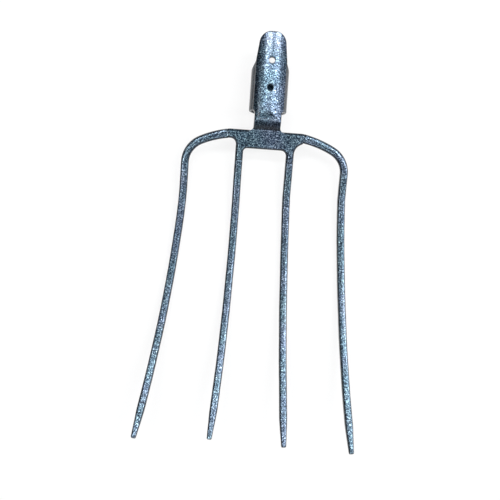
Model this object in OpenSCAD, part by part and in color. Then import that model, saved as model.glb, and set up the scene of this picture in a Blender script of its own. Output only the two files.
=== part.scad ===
// Head of a four-tine farm fork, lying on its back with its front face up.
// The handle's axis is the Y axis and the socket's mouth is at the origin.
// The handle leaves towards +Y, the tines run towards -Y, and +X is the right tine.
// All sizes are in millimetres.

/* [Handle socket] */
// Bore of the socket, the diameter of the handle's end
handle_d = 36; // [32:0.5:40]
// Wall of the wings that wrap round the handle
wing_wall = 2.7; // [2:0.1:3.5]
// Length of the wings along the handle
wing_length = 45; // [35:1:70]
// Height of the wings' shoulders where they run out into the tongue
wing_shoulder = 7.5; // [3:0.5:12]
// Gap between the two wings at the back
seam_gap = 0.6; // [0.4:0.2:12]
// Radius of the wings' corners beside the gap
wing_corner_r = 6; // [2:0.5:10]

/* [Front strap] */
// Thickness of the strap on its centre line
strap_wall = 4.5; // [3.5:0.1:6]
// Width of the strap between the wings
strap_width = 34; // [30:0.5:35]
// Radius of the strap's crowned front face
strap_crown_r = 24; // [23:0.5:36]
// Reach of the tongue beyond the socket's mouth
tongue_reach = 38; // [30:1:60]
// Width of the tongue where its round end starts
tongue_width = 29.4; // [26:0.2:32]
// Radius of the round corners of the tongue's end
tongue_end_r = 12; // [6:0.5:13]

/* [Fastener holes] */
// Diameter of the two holes through the strap
hole_d = 6.5; // [4:0.5:9]
// Distance of the upper hole above the socket's mouth
upper_hole = 7; // [5:0.5:15]
// Distance of the lower hole below the socket's mouth
lower_hole = 22.5; // [12:0.5:28]

/* [Neck] */
// Distance from the wings' lower end to the crosshead's front edge
neck_length = 22.5; // [21:0.5:40]
// Width of the neck
neck_width = 29; // [24:0.5:31]
// Steepness of the neck where it leaves the crosshead
neck_rise = 58; // [45:1:65]
// Radius of the bend at the top of the neck
neck_bend_r = 22; // [8:0.5:22]
// Radius of the crease between the neck and the crosshead
crease_r = 3; // [1:0.5:5]
// Radius of the fillets at the neck's foot
foot_r = 4.5; // [2:0.5:6]
// Radius of the fillets under the wings
throat_r = 5.5; // [2:0.5:6]
// Setback of the hollow's round end from the wings' lower end
hollow_setback = 1.5; // [0:0.5:4]
// Height of the neck's back above the handle's axis, where it meets the wings
neck_back = 3; // [0:0.5:8]

/* [Crosshead] */
// Height of the crosshead from edge to edge
head_height = 20; // [18:0.5:26]
// Thickness of the crosshead
head_thick = 10; // [8.5:0.5:14]
// Tilt of the crosshead to the handle's axis
head_tilt = 13; // [5:1:20]
// Width of the arms that run out to the outer tines
arm_width = 10; // [9:0.2:12]
// Slope of the arms
arm_slope = 10; // [4:1:16]
// Distance of each arm's end from the centre line
arm_reach = 42; // [38:0.5:50]
// Height of each arm's end above the crosshead's centre line
arm_rise = 4.6; // [3:0.2:6]
// Fillet inside the left inner tine
inner_left_fillet = 4; // [2:0.5:10]
// Fillet inside the right inner tine
inner_right_fillet = 6; // [2:0.5:10]
// Fillet between the left inner tine and its arm
outer_left_fillet = 6.5; // [3:0.5:12.5]
// Fillet between the right inner tine and its arm
outer_right_fillet = 12; // [3:0.5:12.5]
// Length of the inner tines' roots below the crosshead's centre line
root_length = 23; // [23:0.5:28]

/* [Tines] */
// Width of a tine
tine_width = 8.6; // [7:0.2:10]
// Thickness of a tine, front to back
tine_thick = 9; // [7:0.2:10]
// Width of a bevel on a tine, seen from the front
bevel_width = 2.2; // [1:0.1:2.5]
// Depth of a bevel on a tine, front to back
bevel_depth = 2.5; // [1:0.1:3]
// Distance of the outer tines from the centre line, in their straight part
outer_spread = 88.4; // [78:0.1:96]
// Distance of the inner tines from the centre line, in their straight part
inner_spread = 28; // [25:0.1:32]
// Radius of the tines' bow, seen from the side
bow_r = 472; // [400:4:900]
// Radius of the long curve from an arm to the shoulder
crown_r = 110; // [90:5:150]
// Radius of the shoulder where an outer tine turns down
shoulder_r = 28; // [20:1:32]
// Length of the straight part, where the tines run parallel
straight_length = 60; // [50:1:90]
// Length of the taper at each tip
tip_taper = 30; // [15:1:60]
// Width of each blunt tip
tip_width = 5.2; // [3:0.2:7]
// Length of the rounding at each tip
tip_round = 1.6; // [1:0.2:2.5]

/* [Outer tine left] */
// Outward shift of this tine from the common spread
outer_left_shift = -1.3; // [-3:0.1:3]
// Length from the crosshead's centre line to the tip
outer_left_length = 336; // [250:1:380]
// Sideways fan of the tip
outer_left_fan = 33; // [10:1:45]
// Power of the fan curve, higher for a later bend
outer_left_curve = 1.4; // [1.1:0.1:2.5]

/* [Inner tine left] */
// Outward shift of this tine from the common spread
inner_left_shift = 0.1; // [-2:0.1:2]
// Length from the crosshead's centre line to the tip
inner_left_length = 333; // [250:1:380]
// Sideways fan of the tip
inner_left_fan = 11.8; // [0:0.2:20]
// Power of the fan curve, higher for a later bend
inner_left_curve = 2.1; // [1.1:0.1:2.5]

/* [Inner tine right] */
// Outward shift of this tine from the common spread
inner_right_shift = -0.1; // [-2:0.1:2]
// Length from the crosshead's centre line to the tip
inner_right_length = 337; // [250:1:380]
// Sideways fan of the tip
inner_right_fan = 12; // [0:0.2:20]
// Power of the fan curve, higher for a later bend
inner_right_curve = 1.1; // [1.1:0.1:2.5]

/* [Outer tine right] */
// Outward shift of this tine from the common spread
outer_right_shift = 1.3; // [-3:0.1:3]
// Length from the crosshead's centre line to the tip
outer_right_length = 340; // [250:1:380]
// Sideways fan of the tip
outer_right_fan = 23; // [10:1:45]
// Power of the fan curve, higher for a later bend
outer_right_curve = 1.1; // [1.1:0.1:2.5]

/* [Hidden] */

$fn = 96;
bevel_sides = 36;

// Length that a cutting shape runs past what it cuts
past = 1;

head_paint = [0.42, 0.50, 0.60];
neck_paint = [0.36, 0.46, 0.55];
socket_paint = [0.46, 0.54, 0.64];
tine_paint = [0.50, 0.57, 0.68];

handle_r = handle_d / 2;
wing_r = handle_r + wing_wall;
strap_top = handle_r + strap_wall;
crown_z = strap_top - strap_crown_r;
wing_end = -wing_length;

outer_left_x = outer_spread + outer_left_shift;
inner_left_x = inner_spread + inner_left_shift;
inner_right_x = inner_spread + inner_right_shift;
outer_right_x = outer_spread + outer_right_shift;

// The crosshead's centre, level with its front edge and seated so that the wings
// and the bellies of the tines rest on one plane
crease_y = wing_end - neck_length;
head_y = crease_y - head_height / 2 * cos(head_tilt) + head_thick / 2 * sin(head_tilt);
belly_drop = root_length * sin(head_tilt) + bow_r * (1 - cos(head_tilt));
head_z = tine_thick / 2 - wing_r + belly_drop;

// A point of the crosshead's side view, as [Y, Z] in the part's frame
function head_point(y, z) = [
    head_y + y * cos(head_tilt) - z * sin(head_tilt),
    head_z + y * sin(head_tilt) + z * cos(head_tilt)
];

// Points on an arc that starts at p with heading h0 and ends with heading h1.
// The heading turns left, towards larger angles, or right, towards smaller ones.
function turn(p, r, h0, h1, steps) =
    let (side = h1 > h0 ? 1 : -1)
    [for (i = [0:steps])
        let (h = h0 + (h1 - h0) * i / steps)
        p + side * r * [sin(h) - sin(h0), cos(h0) - cos(h)]];

function last(list) = list[len(list) - 1];
function mix(a, b, f) = a + (b - a) * f;

// The tines are laid out flat, in the crosshead's plane, and then bent to the bow.
// A place on the flat layout is [x, s], where s is negative towards the tips.
function bow_angle(s) =
    s > -root_length ? head_tilt : head_tilt - (-root_length - s) / bow_r * 180 / PI;
function bow_y(s) =
    s > -root_length ? s * cos(head_tilt)
    : -root_length * cos(head_tilt) - bow_r * (sin(head_tilt) - sin(bow_angle(s)));
function bow_z(s) =
    s > -root_length ? s * sin(head_tilt)
    : -root_length * sin(head_tilt) - bow_r * (cos(bow_angle(s)) - cos(head_tilt));

// Section of a bar: a rectangle with four bevelled corners
function section(w, t) =
    let (x = w / 2, z = t / 2,
         bx = min(bevel_width, w * 0.3),
         bz = min(bevel_depth, t * 0.3))
    [[x, bz - z], [x, z - bz], [x - bx, z], [bx - x, z],
     [-x, z - bz], [-x, bz - z], [bx - x, -z], [x - bx, -z]];

// A station of a bar is [x, s, direction x, direction s, width, thickness]
function station_ring(st) =
    let (a = bow_angle(st[1]),
         place = [st[0], head_y + bow_y(st[1]), head_z + bow_z(st[1])],
         along = [st[2], st[3] * cos(a), st[3] * sin(a)],
         front = [0, -sin(a), cos(a)],
         across = cross(along, front))
    [for (q = section(st[4], st[5])) place + across * q[0] + front * q[1]];

// Solid bar through a list of stations
module bar(stations) {
    rings = [for (st = stations) station_ring(st)];
    sides = len(rings[0]);
    count = len(rings);
    points = [for (ring = rings) each ring];
    start_cap = [for (i = [0:sides - 1]) sides - 1 - i];
    end_cap = [for (i = [0:sides - 1]) (count - 1) * sides + i];
    walls = [
        for (k = [0:count - 2], i = [0:sides - 1])
            let (a = k * sides + i, b = k * sides + (i + 1) % sides)
            each [[a, b, a + sides], [b, b + sides, a + sides]]
    ];
    polyhedron(points = points, faces = concat([start_cap], walls, [end_cap]));
}

leg_steps = 34;
crown_steps = 5;
shoulder_steps = 9;

// Stations from the straight part down to the blunt tip.
// Side is -1 on the left and 1 on the right, and start is where the leg begins.
function leg(side, x, start, length, fan, curve, width, thick) =
    let (run = length - straight_length,
         tip_share = tip_width / width,
         tip_start = length - tip_taper,
         body = [for (i = [0:leg_steps]) mix(start, tip_start, i / leg_steps)],
         ends = [length - tip_taper / 2, length - tip_round, length])
    [for (d = concat(body, ends))
        let (q = max(0, d - straight_length) / run,
             slope = q > 0 ? fan * curve * pow(q, curve - 1) / run : 0,
             unit = sqrt(1 + slope * slope),
             near = max(0, d - tip_start) / tip_taper,
             blunt = d > length - tip_round / 2 ? 0.55 : 1,
             size = mix(1, tip_share, near) * blunt,
             fade = min(1, max(0, (d - root_length) / (straight_length - root_length))))
        [side * (x + fan * pow(q, curve)), -d, side * slope / unit, -1 / unit,
         mix(width, tine_width, fade) * size, mix(thick, tine_thick, fade) * size]];

module inner_tine(side, x, length, fan, curve) {
    color(tine_paint)
        bar(leg(side, x, root_length, length, fan, curve, tine_width, head_thick));
}

// An outer tine leaves its arm on a long curve, turns down round the shoulder
// and then runs on as a straight leg
module outer_tine(side, x, length, fan, curve) {
    run = x - arm_reach + crown_r * sin(arm_slope) - shoulder_r;
    hand_over = asin(run / (crown_r - shoulder_r));
    start = [arm_reach, arm_rise];
    crown = turn(start, crown_r, -arm_slope, -hand_over, crown_steps);
    shoulder = turn(last(crown), shoulder_r, -hand_over, -90, shoulder_steps);
    arc_points = concat(crown, [for (i = [1:shoulder_steps]) shoulder[i]]);
    arc_count = crown_steps + shoulder_steps;
    arcs = [
        for (i = [0:arc_count - 1])
            let (f = i / arc_count,
                 h = i < crown_steps
                     ? mix(arm_slope, hand_over, i / crown_steps)
                     : mix(hand_over, 90, (i - crown_steps) / shoulder_steps))
            [side * arc_points[i][0], arc_points[i][1], side * cos(h), -sin(h),
             mix(arm_width, tine_width, f), mix(head_thick, tine_thick, f)]
    ];
    bend_end = -last(shoulder)[1];
    color(tine_paint)
        bar(concat(arcs, leg(side, x, bend_end, length, fan, curve, tine_width, tine_thick)));
}

// Concave corner between two edges that meet at the origin
module fillet(r) {
    difference() {
        square(r);
        translate([r, r]) circle(r);
    }
}

// Round bar on the handle's axis, or z above it, between two places along the handle
module rod(y0, y1, r, z = 0) {
    translate([0, y1, z]) rotate([90, 0, 0]) cylinder(h = y1 - y0, r = r);
}

module arm_outline(side) {
    inward = arm_reach / 2;
    translate([side * arm_reach, arm_rise])
        rotate(-side * arm_slope)
            translate([side > 0 ? -inward : -bevel_width - past, -arm_width / 2])
                square([inward + bevel_width + past, arm_width]);
}

module root_outline(side, x) {
    translate([side * x - tine_width / 2, -root_length - bevel_width - past])
        square([tine_width, root_length + bevel_width + past]);
}

module sharp_outline() {
    left = -inner_left_x - tine_width / 2;
    right = inner_right_x + tine_width / 2;
    intersection() {
        union() {
            translate([left, -head_height / 2]) square([right - left, head_height]);
            for (side = [-1, 1]) arm_outline(side);
            root_outline(-1, inner_left_x);
            root_outline(1, inner_right_x);
        }
        translate([-2 * arm_reach, -2 * head_height])
            square([4 * arm_reach, 2.5 * head_height]);
    }
}

// The outline with one fillet in its hollow corners, between two distances from the left
module filleted_outline(r, from, to) {
    intersection() {
        offset(r = -r) offset(delta = r) sharp_outline();
        translate([from, -2 * head_height]) square([to - from, 4 * head_height]);
    }
}

// Outline of the crosshead, where each hollow corner has its own fillet
module head_outline() {
    side_end = 2 * arm_reach;
    filleted_outline(outer_left_fillet, -side_end, -inner_left_x);
    filleted_outline(inner_left_fillet, -inner_left_x, 0);
    filleted_outline(inner_right_fillet, 0, inner_right_x);
    filleted_outline(outer_right_fillet, inner_right_x, side_end);
}

// What lies past the ends of the arms and of the inner tines' roots
module beyond_joints() {
    deep = 2 * head_thick;
    translate([-2 * arm_reach, -root_length - head_height, -head_thick])
        cube([4 * arm_reach, head_height, deep]);
    for (side = [-1, 1])
        translate([side * arm_reach, arm_rise, 0])
            rotate(-side * arm_slope)
                translate([side > 0 ? 0 : -head_height, -head_height, -head_thick])
                    cube([head_height, 2 * head_height, deep]);
}

module crosshead() {
    pad_width = neck_width + 2 * foot_r;
    flat_depth = head_thick - 2 * bevel_depth;
    color(head_paint)
        translate([0, head_y, head_z]) rotate([head_tilt, 0, 0]) {
            difference() {
                minkowski() {
                    linear_extrude(height = flat_depth, center = true)
                        offset(delta = -bevel_width) head_outline();
                    for (up = [0, 1]) mirror([0, 0, up])
                        cylinder(h = bevel_depth, r1 = bevel_width, r2 = 0, $fn = bevel_sides);
                }
                beyond_joints();
            }
            // Square-edged pad under the neck's foot
            translate([-pad_width / 2, head_height / 2 - bevel_width, -head_thick / 2])
                cube([pad_width, bevel_width, head_thick]);
        }
}

// Side view of the neck, as [Y, Z]: crease, steep rise and bend on the front,
// and a straight back from the crosshead to the wings
module neck_side_view() {
    front_foot = head_point(head_height / 2, head_thick / 2);
    back_foot = head_point(head_height / 2, -head_thick / 2);
    crease = turn(front_foot, crease_r, head_tilt, neck_rise, 6);
    bend_z = strap_top - neck_bend_r * (1 - cos(neck_rise));
    bend_y = last(crease)[0] + (bend_z - last(crease)[1]) / tan(neck_rise);
    bend = turn([bend_y, bend_z], neck_bend_r, neck_rise, 0, 16);
    flat_end = max(wing_end, last(bend)[0]) + past;
    polygon(concat(crease, bend, [[flat_end, strap_top], [flat_end, neck_back],
                                  [wing_end, neck_back], back_foot]));
}

// Front view of the neck, with its fillets at the foot and under the wings
module neck_front_view() {
    half = neck_width / 2;
    translate([-half, crease_y - past]) square([neck_width, neck_length + past]);
    for (side = [0, 1]) mirror([side, 0]) {
        translate([half, crease_y]) fillet(foot_r);
        translate([half, wing_end]) mirror([0, 1]) fillet(throat_r);
    }
}

module neck() {
    tall = strap_top + wing_r;
    color(neck_paint)
        difference() {
            intersection() {
                rotate([90, 0, 90])
                    linear_extrude(height = 2 * wing_r, center = true) neck_side_view();
                translate([0, 0, -wing_r]) linear_extrude(height = tall) neck_front_view();
                union() {
                    rod(crease_y - past, wing_end, wing_r);
                    intersection() {
                        rod(crease_y - past, wing_end, strap_crown_r, crown_z);
                        translate([-strap_width / 2, crease_y - past, -wing_r])
                            cube([strap_width, neck_length + 2 * past, tall]);
                    }
                }
            }
            // Round end of the handle's hollow
            translate([0, wing_end + hollow_setback, 0]) sphere(handle_r);
        }
}

module tongue_outline() {
    half = strap_width / 2;
    end_y = tongue_reach - tongue_end_r;
    end_x = tongue_width / 2 - tongue_end_r;
    polygon([[-half, wing_end], [half, wing_end], [half, wing_shoulder],
             [tongue_width / 2, end_y], [-tongue_width / 2, end_y], [-half, wing_shoulder]]);
    translate([-end_x, end_y]) square([2 * end_x, tongue_end_r]);
    for (side = [-1, 1]) translate([side * end_x, end_y]) circle(tongue_end_r);
}

module strap() {
    difference() {
        intersection() {
            linear_extrude(height = strap_top + past) tongue_outline();
            rod(wing_end, tongue_reach + past, strap_crown_r, crown_z);
        }
        rod(wing_end - past, tongue_reach + 2 * past, handle_r);
        for (y = [upper_hole, -lower_hole])
            translate([0, y, 0]) cylinder(h = strap_top + past, d = hole_d);
    }
}

// Gap between the wings, which opens at both ends round the wings' corners
module seam_outline() {
    half = seam_gap / 2;
    translate([-half, wing_end - past]) square([seam_gap, wing_length + 2 * past]);
    for (side = [0, 1], end = [wing_end, 0])
        mirror([side, 0]) translate([half, end]) mirror([0, end == 0 ? 1 : 0])
            fillet(wing_corner_r);
}

module wings() {
    half = strap_width / 2;
    difference() {
        intersection() {
            rod(wing_end, wing_shoulder, wing_r);
            union() {
                translate([-wing_r, wing_end, -wing_r])
                    cube([2 * wing_r, wing_length, 2 * wing_r]);
                linear_extrude(height = wing_r)
                    polygon([[-wing_r, 0], [wing_r, 0], [half, wing_shoulder],
                             [-half, wing_shoulder]]);
            }
        }
        rod(wing_end - past, wing_shoulder + past, handle_r);
        translate([0, 0, -wing_r - past]) linear_extrude(height = wing_r) seam_outline();
        translate([0, -lower_hole, 0]) cylinder(h = wing_r + past, d = hole_d);
        translate([0, upper_hole, 0]) cylinder(h = wing_r + past, d = hole_d);
    }
}

module socket() {
    color(socket_paint) {
        wings();
        strap();
    }
}

module outer_tine_left() {
    outer_tine(-1, outer_left_x, outer_left_length, outer_left_fan, outer_left_curve);
}

module inner_tine_left() {
    inner_tine(-1, inner_left_x, inner_left_length, inner_left_fan, inner_left_curve);
}

module inner_tine_right() {
    inner_tine(1, inner_right_x, inner_right_length, inner_right_fan, inner_right_curve);
}

module outer_tine_right() {
    outer_tine(1, outer_right_x, outer_right_length, outer_right_fan, outer_right_curve);
}

crosshead();
neck();
socket();
outer_tine_left();
inner_tine_left();
inner_tine_right();
outer_tine_right();
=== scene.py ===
"""Dresses the four-tine fork head: forged surfaces, hammered enamel, floor, light and camera."""
import math

import bmesh
import bpy
from mathutils import Matrix, Vector
from mathutils.kdtree import KDTree


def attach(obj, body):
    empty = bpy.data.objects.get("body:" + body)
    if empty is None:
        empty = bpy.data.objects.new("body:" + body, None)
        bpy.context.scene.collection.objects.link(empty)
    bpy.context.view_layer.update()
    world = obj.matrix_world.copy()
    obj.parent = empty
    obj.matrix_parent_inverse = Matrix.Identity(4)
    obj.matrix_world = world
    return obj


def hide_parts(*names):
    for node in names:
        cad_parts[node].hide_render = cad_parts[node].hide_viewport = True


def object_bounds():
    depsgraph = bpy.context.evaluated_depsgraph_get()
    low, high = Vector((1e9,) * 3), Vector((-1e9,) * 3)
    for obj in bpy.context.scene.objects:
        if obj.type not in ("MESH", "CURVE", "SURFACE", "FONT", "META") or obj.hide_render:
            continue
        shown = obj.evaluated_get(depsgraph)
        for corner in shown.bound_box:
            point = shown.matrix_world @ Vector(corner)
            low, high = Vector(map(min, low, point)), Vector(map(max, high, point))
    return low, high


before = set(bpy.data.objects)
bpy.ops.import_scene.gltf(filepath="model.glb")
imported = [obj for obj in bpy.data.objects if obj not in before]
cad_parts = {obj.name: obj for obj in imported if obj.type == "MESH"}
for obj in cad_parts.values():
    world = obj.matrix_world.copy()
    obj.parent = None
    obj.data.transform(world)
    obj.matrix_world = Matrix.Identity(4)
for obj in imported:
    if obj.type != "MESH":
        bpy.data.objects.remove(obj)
cad_box = [list(corner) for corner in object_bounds()]

MM = 0.001


# Helpers

def add_object(name, data):
    """Adds an object to the scene."""
    obj = bpy.data.objects.new(name, data)
    bpy.context.scene.collection.objects.link(obj)
    return obj


def mesh_of(bm, name):
    """Turns a bmesh into a named mesh."""
    mesh = bpy.data.meshes.new(name)
    bm.to_mesh(mesh)
    bm.free()
    return mesh


def between(a, b, share):
    """The value that lies the given share of the way from a to b."""
    return a + (b - a) * share


# Camera

IMAGE_WIDTH = 500
SENSOR_WIDTH = 36
VIEW_DISTANCE = 800 * MM
PIXEL_AT_HEAD = 1.1 * MM
ROLL = math.radians(3.9)
SIDE_TILT = math.radians(-2.5)
CLIP_NEAR = 0.01
CLIP_FAR = 20
# A place on the crosshead, and the photograph's pixel that it falls on
AIM = Vector((0, -76.2, 0)) * MM
AIM_PIXEL = (265.6, 140.5)


def add_camera():
    """Looks down on the fork from the photograph's side, with the crosshead at its pixel."""
    data = bpy.data.cameras.new("camera")
    data.sensor_width = SENSOR_WIDTH
    data.lens = SENSOR_WIDTH * VIEW_DISTANCE / PIXEL_AT_HEAD / IMAGE_WIDTH
    data.clip_start = CLIP_NEAR
    data.clip_end = CLIP_FAR
    camera = add_object("camera", data)
    turn = Matrix.Rotation(SIDE_TILT, 3, "Y") @ Matrix.Rotation(ROLL, 3, "Z")
    centre_pixel = IMAGE_WIDTH / 2
    right = (AIM_PIXEL[0] - centre_pixel) * PIXEL_AT_HEAD
    up = -(AIM_PIXEL[1] - centre_pixel) * PIXEL_AT_HEAD
    place = AIM - turn @ Vector((right, up, -VIEW_DISTANCE))
    camera.matrix_world = Matrix.LocRotScale(place, turn, None)
    bpy.context.scene.camera = camera


# Sizes of the forging, in millimetres

HANDLE_R = 18
WING_WALL = 2.7
WING_LENGTH = 45
CROSSHEAD_HEIGHT = 20
HEAD_THICK = 10.0
HEAD_TILT = math.radians(13)
ROOT_LENGTH = 23
BOW_R = 472
ARM_REACH = 42
ARM_RISE = 4.6
ARM_SLOPE = math.radians(10)
ARM_WIDTH = 10.0
CROWN_R = 110
SHOULDER_R = 28
STRAIGHT = 60
TINE_WIDTH = 8.6
TINE_THICK = 9.0
CORNER_R = 2.9
# What a corner's radius gains half way along an outer tine's arcs
CORNER_GAIN = 1.2
TIP_WIDTH = 5.2
TIP_TAPER = 30.0
TIP_ROUND = 1.6
# Share of its size that a tip would lose over a full quarter round
TIP_SHRINK = 0.45
# How far a tip stops short of the CAD tine's, to stay inside the CAD model's length
TIP_INSIDE = 0.3

# The crosshead's centre. At -76.1189, the CAD's own place, the cut to the neck leaves slivers.
HEAD_Y = -76.12
# The bow's lowest place is level with the wings
BELLY_DROP = ROOT_LENGTH * math.sin(HEAD_TILT) + BOW_R * (1 - math.cos(HEAD_TILT))
HEAD_CENTRE = Vector((0, HEAD_Y, TINE_THICK / 2 - (HANDLE_R + WING_WALL) + BELLY_DROP))

# Name, side, distance from the centre line, length, fan and power of the fan
TINES = [
    ("outer_tine_left", -1, 87.1, 336, 33.0, 1.4),
    ("inner_tine_left", -1, 28.1, 333, 11.8, 2.1),
    ("inner_tine_right", 1, 27.9, 337, 12.0, 1.1),
    ("outer_tine_right", 1, 89.7, 340, 23.0, 1.1),
]


# Tines: bars swept through stations on a flat layout, which is then bent to the bow.
# A place on the layout is x, s, where s is negative towards the tips.
# A station is x, s, direction x, direction s, width, thickness and corner radius.

CROWN_STEPS = 24
SHOULDER_STEPS = 30
LEG_STEPS = 150
CORNER_STEPS = 6
# Largest share of a bar's side that a corner's radius takes
CORNER_LIMIT = 0.48
# Places round a tip's end, in degrees
TIP_ANGLES = (20, 40, 56, 70)

# Slow unevenness of the forging: height in millimetres, then radians for each millimetre
# of s and of x, and for each unit of the seed
WAVES = [
    (0.10, 0.11, 0.0, 1.0),
    (0.07, 0.27, 0.0, 2.1),
    (0.05, 0.53, 0.2, 3.3),
]
SEED_STEP = 1.7
# What a millimetre of it does to a bar's size, as a share, and to its path, in millimetres
SIZE_WAVER = 0.03
SWAY = 0.6
# Keeps the path's waves apart from the size's
SWAY_STRETCH = 0.4
# Stations over which the unevenness sets in, so that the joints stay true
SETTLE_STATIONS = 6


def bow(s):
    """Angle, Y and Z of the bent steel at the layout's place s."""
    if s > -ROOT_LENGTH:
        return HEAD_TILT, s * math.cos(HEAD_TILT), s * math.sin(HEAD_TILT)
    a = HEAD_TILT - (-ROOT_LENGTH - s) / BOW_R
    y = -ROOT_LENGTH * math.cos(HEAD_TILT) - BOW_R * (math.sin(HEAD_TILT) - math.sin(a))
    z = -ROOT_LENGTH * math.sin(HEAD_TILT) - BOW_R * (math.cos(a) - math.cos(HEAD_TILT))
    return a, y, z


def rounded_section(width, thick, corner):
    """Points round a bar: a rectangle with round corners."""
    points = []
    r = min(corner, width * CORNER_LIMIT, thick * CORNER_LIMIT)
    for quarter, (side, up) in enumerate(((1, 1), (-1, 1), (-1, -1), (1, -1))):
        for i in range(CORNER_STEPS + 1):
            a = math.radians(90 * (quarter + i / CORNER_STEPS))
            points.append((side * (width / 2 - r) + r * math.cos(a),
                           up * (thick / 2 - r) + r * math.sin(a)))
    return points


def leg_stations(side, x, start, length, fan, power, thick):
    """Stations from the straight part down to the blunt tip."""
    run = length - STRAIGHT
    cap_start = length - TIP_ROUND - TIP_INSIDE
    distances = [between(start, cap_start, i / LEG_STEPS) for i in range(LEG_STEPS + 1)]
    distances += [cap_start + TIP_ROUND * math.sin(math.radians(a)) for a in TIP_ANGLES]
    stations = []
    for d in distances:
        q = max(0.0, d - STRAIGHT) / run
        slope = fan * power * q ** (power - 1) / run if q > 0 else 0.0
        unit = math.hypot(1, slope)
        near = max(0.0, d - (length - TIP_TAPER)) / TIP_TAPER
        cap = max(0.0, (d - cap_start) / TIP_ROUND)
        size = 1 - near + near * TIP_WIDTH / TINE_WIDTH
        size *= 1 - TIP_SHRINK * (1 - math.sqrt(1 - cap * cap))
        fade = min(1.0, max(0.0, (d - ROOT_LENGTH) / (STRAIGHT - ROOT_LENGTH)))
        stations.append((side * (x + fan * q ** power), -d, side * slope / unit, -1 / unit,
                         TINE_WIDTH * size, between(thick, TINE_THICK, fade) * size, CORNER_R * size))
    return stations


def arc_stations(side, x):
    """Stations along an arm's long curve and round its shoulder, and where the leg starts."""
    run = x - ARM_REACH + CROWN_R * math.sin(ARM_SLOPE) - SHOULDER_R
    hand_over = math.asin(run / (CROWN_R - SHOULDER_R))
    arcs = [
        (CROWN_R, ARM_SLOPE, hand_over, CROWN_STEPS),
        (SHOULDER_R, hand_over, math.pi / 2, SHOULDER_STEPS),
    ]
    px, ps = ARM_REACH, ARM_RISE
    stations = []
    for r, h0, h1, steps in arcs:
        for i in range(steps):
            h = between(h0, h1, i / steps)
            f = len(stations) / (CROWN_STEPS + SHOULDER_STEPS)
            stations.append((side * (px + r * (math.sin(h) - math.sin(h0))),
                             ps - r * (math.cos(h0) - math.cos(h)),
                             side * math.cos(h), -math.sin(h),
                             between(ARM_WIDTH, TINE_WIDTH, f),
                             between(HEAD_THICK, TINE_THICK, f),
                             CORNER_R + CORNER_GAIN * math.sin(math.pi * f)))
        px += r * (math.sin(h1) - math.sin(h0))
        ps -= r * (math.cos(h0) - math.cos(h1))
    return stations, -ps


def waver(x, s, seed):
    """Unevenness at a place of the layout, in millimetres."""
    return sum(height * math.sin(s * per_s + x * per_x + seed * per_seed)
               for height, per_s, per_x, per_seed in WAVES)


def station_ring(bm, station, settle, seed):
    """Vertices round the bar at one station, bent to the bow and placed in the frame."""
    x, s, dx, ds, width, thick, corner = station
    a, y, z = bow(s)
    place = Vector((x, y, z)) + HEAD_CENTRE
    along = Vector((dx, ds * math.cos(a), ds * math.sin(a)))
    front = Vector((0, -math.sin(a), math.cos(a)))
    across = along.cross(front)
    size = 1 + settle * SIZE_WAVER * waver(x, s, seed)
    sway = settle * SWAY * waver(s, s * SWAY_STRETCH, seed + 1)
    ring = []
    for u, v in rounded_section(width, thick, corner):
        point = place + across * (u * size + sway) + front * (v * size)
        ring.append(bm.verts.new(point * MM))
    return ring


def tine(name, side, x, length, fan, power, seed):
    """One forged tine, with its arm and shoulder if it is an outer one."""
    if name.startswith("outer"):
        stations, start = arc_stations(side, x)
        stations += leg_stations(side, x, start, length, fan, power, TINE_THICK)
    else:
        stations = leg_stations(side, x, ROOT_LENGTH, length, fan, power, HEAD_THICK)
    bm = bmesh.new()
    rings = [station_ring(bm, station, min(1.0, k / SETTLE_STATIONS), seed)
             for k, station in enumerate(stations)]
    for a, b in zip(rings, rings[1:]):
        n = len(a)
        for i in range(n):
            bm.faces.new((a[i], a[(i + 1) % n], b[(i + 1) % n], b[i]))
    bm.faces.new(rings[-1])
    bm.faces.new(list(reversed(rings[0])))
    bmesh.ops.recalc_face_normals(bm, faces=bm.faces)
    mesh = mesh_of(bm, name + "_forged")
    for face in mesh.polygons:
        face.use_smooth = len(face.vertices) == 4
    return add_object(name + "_forged", mesh)


# Head: the three CAD nodes are fused and softened as one forging, then parted at their joints

HEAD_NODES = ("crosshead", "neck", "socket")
VOXEL = 0.45 * MM
SOFTENING = 14
SOFTENING_FACTOR = 0.5
# A face belongs to a cut's cap if it lies this near the cut's plane, in metres, and the
# cosine between their directions is over this
ON_PLANE = 1e-6
FACES_AWAY = 0.99
# Keeps the weight finite where a piece's vertex is one of the forging's own
NO_DISTANCE = 1e-7


def forged_head():
    """One softened mesh of the crosshead, neck and socket."""
    bm = bmesh.new()
    for name in HEAD_NODES:
        bm.from_mesh(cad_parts[name].data)
    forging = add_object("forging", mesh_of(bm, "forging"))
    remesh = forging.modifiers.new("remesh", "REMESH")
    remesh.mode = "VOXEL"
    remesh.voxel_size = VOXEL
    soften = forging.modifiers.new("soften", "SMOOTH")
    soften.factor = SOFTENING_FACTOR
    soften.iterations = SOFTENING
    graph = bpy.context.evaluated_depsgraph_get()
    whole = bpy.data.meshes.new_from_object(forging.evaluated_get(graph))
    bpy.data.objects.remove(forging)
    return whole


def cut_mesh(whole, name, cuts):
    """What is left of the forging after each cut, with flat caps. A cut is a place and a way out."""
    bm = bmesh.new()
    bm.from_mesh(whole)
    for place, away in cuts:
        geometry = bm.verts[:] + bm.edges[:] + bm.faces[:]
        cut = bmesh.ops.bisect_plane(bm, geom=geometry, plane_co=place, plane_no=away,
                                     clear_outer=True)
        edges = [g for g in cut["geom_cut"] if isinstance(g, bmesh.types.BMEdge)]
        bmesh.ops.triangle_fill(bm, edges=edges, use_beauty=True)
    mesh = mesh_of(bm, name)
    for face in mesh.polygons:
        face.use_smooth = True
    return mesh


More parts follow.
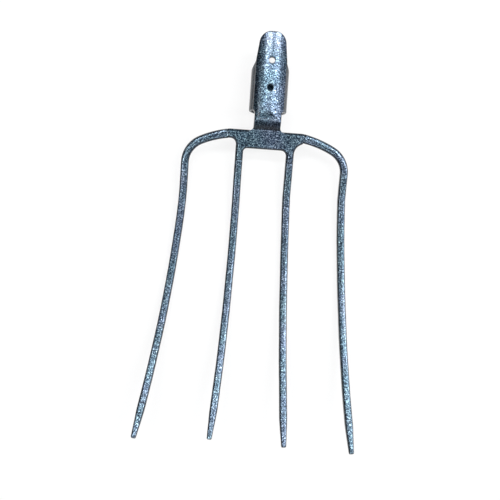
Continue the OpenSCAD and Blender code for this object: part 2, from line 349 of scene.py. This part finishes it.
def keep_normals(mesh, cuts, tree, normals):
    """Gives all but the flat caps the whole forging's normals, so that the shading runs on."""
    loops = []
    for face in mesh.polygons:
        cap = any(abs((face.center - place).dot(away)) < ON_PLANE
                  and abs(face.normal.dot(away)) > FACES_AWAY
                  for place, away in cuts)
        for v in face.vertices:
            if cap:
                loops.append(face.normal.copy())
                continue
            near = tree.find_n(mesh.vertices[v].co, 2)
            weighted = (normals[i] * (1 / (distance + NO_DISTANCE)) for _, i, distance in near)
            loops.append(sum(weighted, Vector()).normalized())
    mesh.normals_split_custom_set(loops)


def part_head(whole):
    """The crosshead, neck and socket, cut from the forging at the nodes' joints."""
    normals = [v.normal.copy() for v in whole.vertices]
    tree = KDTree(len(whole.vertices))
    for i, v in enumerate(whole.vertices):
        tree.insert(v.co, i)
    tree.balance()
    tilt = Vector((0, math.cos(HEAD_TILT), math.sin(HEAD_TILT)))
    up = Vector((0, 1, 0))
    foot = (HEAD_CENTRE + tilt * (CROSSHEAD_HEIGHT / 2)) * MM
    throat = Vector((0, -WING_LENGTH * MM, 0))
    plans = {
        "crosshead": [(foot, tilt)],
        "neck": [(foot, -tilt), (throat, up)],
        "socket": [(throat, -up)],
    }
    pieces = {}
    for name, cuts in plans.items():
        mesh = cut_mesh(whole, name + "_forged", cuts)
        keep_normals(mesh, cuts, tree, normals)
        pieces[name] = add_object(name + "_forged", mesh)
    return pieces


# Node helpers: a value is a plain number or colour, or another node's output

# Places of the Mix node's colour sockets
MIX_A = 6
MIX_B = 7
MIX_RESULT = 2


def feed(tree, socket, value):
    if isinstance(value, bpy.types.NodeSocket):
        tree.links.new(value, socket)
    else:
        socket.default_value = value


def maths(tree, kind, a, b=0.0):
    node = tree.nodes.new("ShaderNodeMath")
    node.operation = kind
    feed(tree, node.inputs[0], a)
    feed(tree, node.inputs[1], b)
    return node.outputs[0]


def mix(tree, kind, factor, a, b):
    node = tree.nodes.new("ShaderNodeMix")
    node.data_type = "RGBA"
    node.blend_type = kind
    feed(tree, node.inputs["Factor"], factor)
    feed(tree, node.inputs[MIX_A], a)
    feed(tree, node.inputs[MIX_B], b)
    return node.outputs[MIX_RESULT]


def noise(tree, place, scale, detail, rough=0.5, distortion=0.0):
    node = tree.nodes.new("ShaderNodeTexNoise")
    node.inputs["Scale"].default_value = scale
    node.inputs["Detail"].default_value = detail
    node.inputs["Roughness"].default_value = rough
    node.inputs["Distortion"].default_value = distortion
    tree.links.new(place, node.inputs["Vector"])
    return node.outputs["Fac"]


def ramp(tree, value, stops):
    node = tree.nodes.new("ShaderNodeValToRGB")
    elements = node.color_ramp.elements
    for i, (at, colour) in enumerate(stops):
        element = elements[i] if i < 2 else elements.new(at)
        element.position = at
        element.color = (*colour, 1)
    tree.links.new(value, node.inputs["Fac"])
    return node.outputs["Color"]


# Material

# From the dark veins to the pale flecks
FLECK_STOPS = [
    (0.36, (0.008, 0.016, 0.028)),
    (0.43, (0.030, 0.050, 0.075)),
    (0.50, (0.085, 0.130, 0.175)),
    (0.58, (0.22, 0.31, 0.37)),
    (0.68, (0.64, 0.82, 0.88)),
]
CLOUD_STOPS = [(0.35, (0.78, 0.82, 0.88)), (0.68, (1.0, 1.0, 1.0))]
TINT_STOPS = [(0.40, (0.88, 0.98, 1.0)), (0.62, (1.0, 0.94, 1.06))]
# Painted shade: from faces that stand upright, painted darkest, to faces that lie level, left at full
# colour
PAINTED_FLANK_SHADE_STOPS = [
    (0.45, (0.12, 0.12, 0.13)),
    (0.82, (0.45, 0.45, 0.48)),
    (0.97, (1.0, 1.0, 1.0)),
]
EDGE_STOPS = [(0.50, (0, 0, 0)), (0.62, (1, 1, 1))]
WORN_COLOUR = (0.30, 0.37, 0.42, 1)
WORN_SHARE = 0.5

# Roughness everywhere, and what the flecks and the worn edges add to it
ROUGHNESS = 0.22
FLECK_ROUGHNESS = 0.20
WORN_ROUGHNESS = 0.15

# How much each pattern lifts the surface, and the bump's full height
PEBBLE_LIFT = 0.7
FLECK_LIFT = 0.6
DENT_LIFT = 1.4
BUMP_HEIGHT = 0.26 * MM

# Scales of the patterns, in cells for each metre
FLECK_SCALE = 760
PEBBLE_SCALE = 520
WEAR_SCALE = 180
DENT_SCALE = 110
CLOUD_SCALE = 70
TINT_SCALE = 26


def enamel_material():
    """Hammered enamel: mottled blue-grey with dark veins and pale flecks, glossy and pebbled, with painted
    shade on the flanks.
    """
    material = bpy.data.materials.new("hammered_enamel")
    material.use_nodes = True
    tree = material.node_tree
    shader = tree.nodes["Principled BSDF"]
    place = tree.nodes.new("ShaderNodeTexCoord").outputs["Object"]
    surface = tree.nodes.new("ShaderNodeNewGeometry")

    flecks = noise(tree, place, FLECK_SCALE, 2, rough=0.6, distortion=0.4)
    colour = ramp(tree, flecks, FLECK_STOPS)
    colour = mix(tree, "MULTIPLY", 1.0, colour, ramp(tree, noise(tree, place, CLOUD_SCALE, 3), CLOUD_STOPS))
    colour = mix(tree, "MULTIPLY", 1.0, colour, ramp(tree, noise(tree, place, TINT_SCALE, 2), TINT_STOPS))

    # Painted shade: flanks are painted darker than faces that lie level, whichever way they are seen from
    facing = tree.nodes.new("ShaderNodeSeparateXYZ")
    tree.links.new(surface.outputs["Normal"], facing.inputs[0])
    painted_flank_shade = ramp(tree, maths(tree, "ABSOLUTE", facing.outputs["Z"]), PAINTED_FLANK_SHADE_STOPS)
    colour = mix(tree, "MULTIPLY", 1.0, colour, painted_flank_shade)

    # Wear: rubbed edges go a little paler and duller
    edge = ramp(tree, surface.outputs["Pointiness"], EDGE_STOPS)
    worn = maths(tree, "MULTIPLY", edge, noise(tree, place, WEAR_SCALE, 3))
    colour = mix(tree, "MIX", maths(tree, "MULTIPLY", worn, WORN_SHARE), colour, WORN_COLOUR)
    tree.links.new(colour, shader.inputs["Base Color"])

    rough = maths(tree, "ADD", maths(tree, "MULTIPLY", flecks, FLECK_ROUGHNESS), ROUGHNESS)
    rough = maths(tree, "ADD", rough, maths(tree, "MULTIPLY", worn, WORN_ROUGHNESS))
    tree.links.new(rough, shader.inputs["Roughness"])
    shader.inputs["Metallic"].default_value = 0.9
    shader.inputs["Coat Weight"].default_value = 0.35
    shader.inputs["Coat Roughness"].default_value = 0.12

    # The bump is the sum of the pebbles, the flecks and the shallow dents
    pebble = tree.nodes.new("ShaderNodeTexVoronoi")
    pebble.feature = "SMOOTH_F1"
    pebble.inputs["Scale"].default_value = PEBBLE_SCALE
    pebble.inputs["Smoothness"].default_value = 0.6
    tree.links.new(place, pebble.inputs["Vector"])
    height = maths(tree, "MULTIPLY", pebble.outputs["Distance"], PEBBLE_LIFT)
    height = maths(tree, "ADD", height, maths(tree, "MULTIPLY", flecks, FLECK_LIFT))
    dents = noise(tree, place, DENT_SCALE, 2)
    height = maths(tree, "ADD", height, maths(tree, "MULTIPLY", dents, DENT_LIFT))
    bump = tree.nodes.new("ShaderNodeBump")
    bump.inputs["Strength"].default_value = 0.7
    bump.inputs["Distance"].default_value = BUMP_HEIGHT
    tree.links.new(height, bump.inputs["Height"])
    tree.links.new(bump.outputs["Normal"], shader.inputs["Normal"])
    return material


# Floor

FLOOR_REACH = 4.0
# Share of the floor that glows white to the camera and in reflections. The rest takes the shadow.
FLOOR_GLOW = 0.84


def floor_material():
    """Pale floor: near white to the camera and in reflections, with a soft shadow kept."""
    material = bpy.data.materials.new("pale_floor")
    material.use_nodes = True
    tree = material.node_tree
    shader = tree.nodes["Principled BSDF"]
    shader.inputs["Base Color"].default_value = (0.90, 0.90, 0.90, 1)
    shader.inputs["Roughness"].default_value = 0.9
    shader.inputs["Specular IOR Level"].default_value = 0.0
    glow = tree.nodes.new("ShaderNodeEmission")
    glow.inputs["Color"].default_value = (1, 1, 1, 1)
    glow.inputs["Strength"].default_value = 1.0
    path = tree.nodes.new("ShaderNodeLightPath")
    seen = path.outputs["Is Camera Ray"]
    for ray in ("Is Glossy Ray", "Is Transmission Ray"):
        seen = maths(tree, "MAXIMUM", seen, path.outputs[ray])
    blend = tree.nodes.new("ShaderNodeMixShader")
    tree.links.new(maths(tree, "MULTIPLY", seen, FLOOR_GLOW), blend.inputs[0])
    tree.links.new(shader.outputs[0], blend.inputs[1])
    tree.links.new(glow.outputs[0], blend.inputs[2])
    tree.links.new(blend.outputs[0], tree.nodes["Material Output"].inputs["Surface"])
    return material


def add_floor(height):
    bm = bmesh.new()
    bmesh.ops.create_grid(bm, x_segments=2, y_segments=2, size=FLOOR_REACH)
    floor = add_object("floor", mesh_of(bm, "floor"))
    floor.location = (0, 0, height)
    floor.data.materials.append(floor_material())


# Light: softboxes above the fork and in front of it, in metres and watts

# Name, angle from overhead towards +X in degrees, its two ends along Y, width and power
STRIPS = [
    ("strip_left", -50, (0.06, 0.26), 0.14, 1.0),
    ("strip_near_left", -16, (0.10, 0.80), 0.16, 8.0),
    ("strip_near_right", 27, (0.10, 0.80), 0.16, 6.5),
    ("strip_right", 50, (-0.85, 0.80), 0.18, 13.0),
    ("strip_low_left", -30, (-0.75, -0.20), 0.20, 3.5),
]
STRIP_DISTANCE = 1.3
FRONT_PLACE = (0.1, -1.25, 1.05)
FRONT_TARGET = (0, -0.06, 0)
FRONT_SIZE = (1.1, 0.40)
FRONT_POWER = 6

SKY_COLOUR = (0.82, 0.90, 1.0, 1)
# The room's strength on the left and on the right, and where along X it starts and stops growing
SKY_STRENGTH = (0.02, 0.42)
SKY_SIDES = (-0.75, 0.85)


def add_softbox(name, place, target, size, power):
    data = bpy.data.lights.new(name, "AREA")
    data.shape = "RECTANGLE"
    data.size, data.size_y = size
    data.energy = power
    light = add_object(name, data)
    direction = Vector(target) - Vector(place)
    light.matrix_world = Matrix.LocRotScale(Vector(place), direction.to_track_quat("-Z", "Y"), None)
    light.visible_camera = False


def add_lights():
    for name, angle, (near, far), width, power in STRIPS:
        a = math.radians(angle)
        middle = (near + far) / 2
        place = (STRIP_DISTANCE * math.sin(a), middle, STRIP_DISTANCE * math.cos(a))
        add_softbox(name, place, (0, middle, 0), (width, far - near), power)
    add_softbox("front", FRONT_PLACE, FRONT_TARGET, FRONT_SIZE, FRONT_POWER)


def add_sky():
    """A dim room that is brighter on the right than on the left."""
    world = bpy.data.worlds.new("studio")
    bpy.context.scene.world = world
    world.use_nodes = True
    tree = world.node_tree
    background = tree.nodes["Background"]
    background.inputs["Color"].default_value = SKY_COLOUR
    place = tree.nodes.new("ShaderNodeTexCoord")
    parts = tree.nodes.new("ShaderNodeSeparateXYZ")
    tree.links.new(place.outputs["Generated"], parts.inputs[0])
    side = tree.nodes.new("ShaderNodeMapRange")
    side.inputs["From Min"].default_value, side.inputs["From Max"].default_value = SKY_SIDES
    side.inputs["To Min"].default_value, side.inputs["To Max"].default_value = SKY_STRENGTH
    tree.links.new(parts.outputs["X"], side.inputs["Value"])
    tree.links.new(side.outputs["Result"], background.inputs["Strength"])


# Build

add_camera()
enamel = enamel_material()
pieces = {row[0]: tine(*row, i * SEED_STEP) for i, row in enumerate(TINES)}
pieces.update(part_head(forged_head()))
for node, piece in pieces.items():
    piece.data.materials.clear()
    piece.data.materials.append(enamel)
    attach(piece, "root")
    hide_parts(node)
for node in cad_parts.values():
    node.data.materials.clear()
    node.data.materials.append(enamel)
add_floor(cad_box[0][2])
add_lights()
add_sky()
bpy.context.scene.view_settings.view_transform = "Standard"
